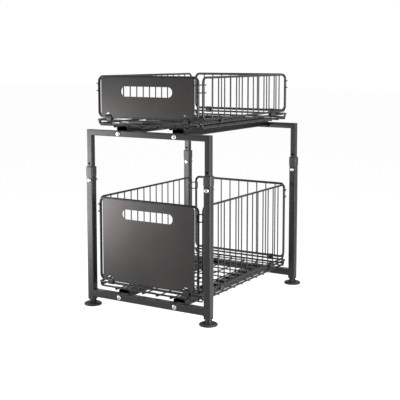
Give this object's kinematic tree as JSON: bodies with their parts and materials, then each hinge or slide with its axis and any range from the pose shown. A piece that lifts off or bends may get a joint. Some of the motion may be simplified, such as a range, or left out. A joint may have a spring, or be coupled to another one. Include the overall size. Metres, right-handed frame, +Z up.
{
  "type": "pull out cabinet basket",
  "caption": "Free-standing cabinet organiser of square tube with sliding wire baskets, slotted front plates, folding end panels and levelling feet.",
  "frame": {"origin": "on the floor, at the middle of the whole part's outline seen from above", "axes": "+X to the right as seen from the front, +Y to the back, +Z up; the baskets pull out towards -Y"},
  "size_m": [0.322, 0.415, 0.4841],
  "materials": {
    "frame_coat": "semi-gloss graphite metallic powder coat",
    "plate_coat": "semi-gloss graphite metallic powder coat",
    "wire_coat": "semi-gloss dark grey powder coat",
    "slide_steel": "dark blackened steel",
    "zinc": "bright zinc plate",
    "black_plastic": "matt black moulded plastic"
  },
  "bodies": {
    "frame": {"front_lower_frame": "frame_coat", "rear_lower_frame": "frame_coat", "front_upper_frame": "frame_coat", "rear_upper_frame": "frame_coat", "post_collars": "black_plastic", "height_bolts": "zinc", "cap_nuts": "zinc", "foot_sockets": "black_plastic", "lower_rail_screws": "zinc", "upper_rail_screws": "zinc", "lower_channel_left": "slide_steel", "lower_channel_right": "slide_steel", "upper_channel_left": "slide_steel", "upper_channel_right": "slide_steel"},
    "foot_front_left_body": {"foot_front_left": "black_plastic"},
    "foot_front_right_body": {"foot_front_right": "black_plastic"},
    "foot_rear_left_body": {"foot_rear_left": "black_plastic"},
    "foot_rear_right_body": {"foot_rear_right": "black_plastic"},
    "lower_basket": {"lower_rail_left": "slide_steel", "lower_rail_right": "slide_steel", "lower_side_left": "wire_coat", "lower_side_right": "wire_coat", "lower_base": "wire_coat", "lower_floor": "wire_coat", "lower_hinge_straps": "frame_coat"},
    "lower_front_fold": {"lower_front_wire": "wire_coat", "lower_front_plate": "plate_coat"},
    "lower_rear_fold": {"lower_rear_panel": "wire_coat"},
    "lower_cage_left_body": {"lower_cage_left": "slide_steel"},
    "lower_cage_right_body": {"lower_cage_right": "slide_steel"},
    "upper_basket": {"upper_rail_left": "slide_steel", "upper_rail_right": "slide_steel", "upper_side_left": "wire_coat", "upper_side_right": "wire_coat", "upper_base": "wire_coat", "upper_floor": "wire_coat", "upper_hinge_straps": "frame_coat"},
    "upper_front_fold": {"upper_front_wire": "wire_coat", "upper_front_plate": "plate_coat"},
    "upper_rear_fold": {"upper_rear_panel": "wire_coat"},
    "upper_cage_left_body": {"upper_cage_left": "slide_steel"},
    "upper_cage_right_body": {"upper_cage_right": "slide_steel"}
  },
  "joints": [
    {"name": "foot_front_left_screw", "type": "slide", "parent": "frame", "child": "foot_front_left_body", "axis": [0, 0, -1], "range_m": [0, 0.01]},
    {"name": "foot_front_right_screw", "type": "slide", "parent": "frame", "child": "foot_front_right_body", "axis": [0, 0, -1], "range_m": [0, 0.01]},
    {"name": "foot_rear_left_screw", "type": "slide", "parent": "frame", "child": "foot_rear_left_body", "axis": [0, 0, -1], "range_m": [0, 0.01]},
    {"name": "foot_rear_right_screw", "type": "slide", "parent": "frame", "child": "foot_rear_right_body", "axis": [0, 0, -1], "range_m": [0, 0.01]},
    {"name": "lower_pull", "type": "slide", "parent": "frame", "child": "lower_basket", "axis": [0, -1, 0], "range_m": [0, 0.25]},
    {"name": "lower_cage_left_roll", "type": "slide", "parent": "frame", "child": "lower_cage_left_body", "axis": [0, -1, 0], "range_m": [0, 0.125]},
    {"name": "lower_cage_right_roll", "type": "slide", "parent": "frame", "child": "lower_cage_right_body", "axis": [0, -1, 0], "range_m": [0, 0.125]},
    {"name": "lower_front_panel_fold", "type": "hinge", "parent": "lower_basket", "child": "lower_front_fold", "pos_m": [0, -0.189, 0.0599], "axis": [-1, 0, 0], "range_deg": [0, 90]},
    {"name": "lower_rear_panel_fold", "type": "hinge", "parent": "lower_basket", "child": "lower_rear_fold", "pos_m": [0, 0.189, 0.0599], "axis": [1, 0, 0], "range_deg": [0, 90]},
    {"name": "upper_pull", "type": "slide", "parent": "frame", "child": "upper_basket", "axis": [0, -1, 0], "range_m": [0, 0.25]},
    {"name": "upper_cage_left_roll", "type": "slide", "parent": "frame", "child": "upper_cage_left_body", "axis": [0, -1, 0], "range_m": [0, 0.125]},
    {"name": "upper_cage_right_roll", "type": "slide", "parent": "frame", "child": "upper_cage_right_body", "axis": [0, -1, 0], "range_m": [0, 0.125]},
    {"name": "upper_front_panel_fold", "type": "hinge", "parent": "upper_basket", "child": "upper_front_fold", "pos_m": [0, -0.189, 0.3999], "axis": [-1, 0, 0], "range_deg": [0, 90]},
    {"name": "upper_rear_panel_fold", "type": "hinge", "parent": "upper_basket", "child": "upper_rear_fold", "pos_m": [0, 0.189, 0.3999], "axis": [1, 0, 0], "range_deg": [0, 90]}
  ],
  "couplings": [
    {"joint": "lower_cage_left_roll", "follows": "lower_pull", "ratio": 0.5},
    {"joint": "lower_cage_right_roll", "follows": "lower_pull", "ratio": 0.5},
    {"joint": "upper_cage_left_roll", "follows": "upper_pull", "ratio": 0.5},
    {"joint": "upper_cage_right_roll", "follows": "upper_pull", "ratio": 0.5}
  ]
}
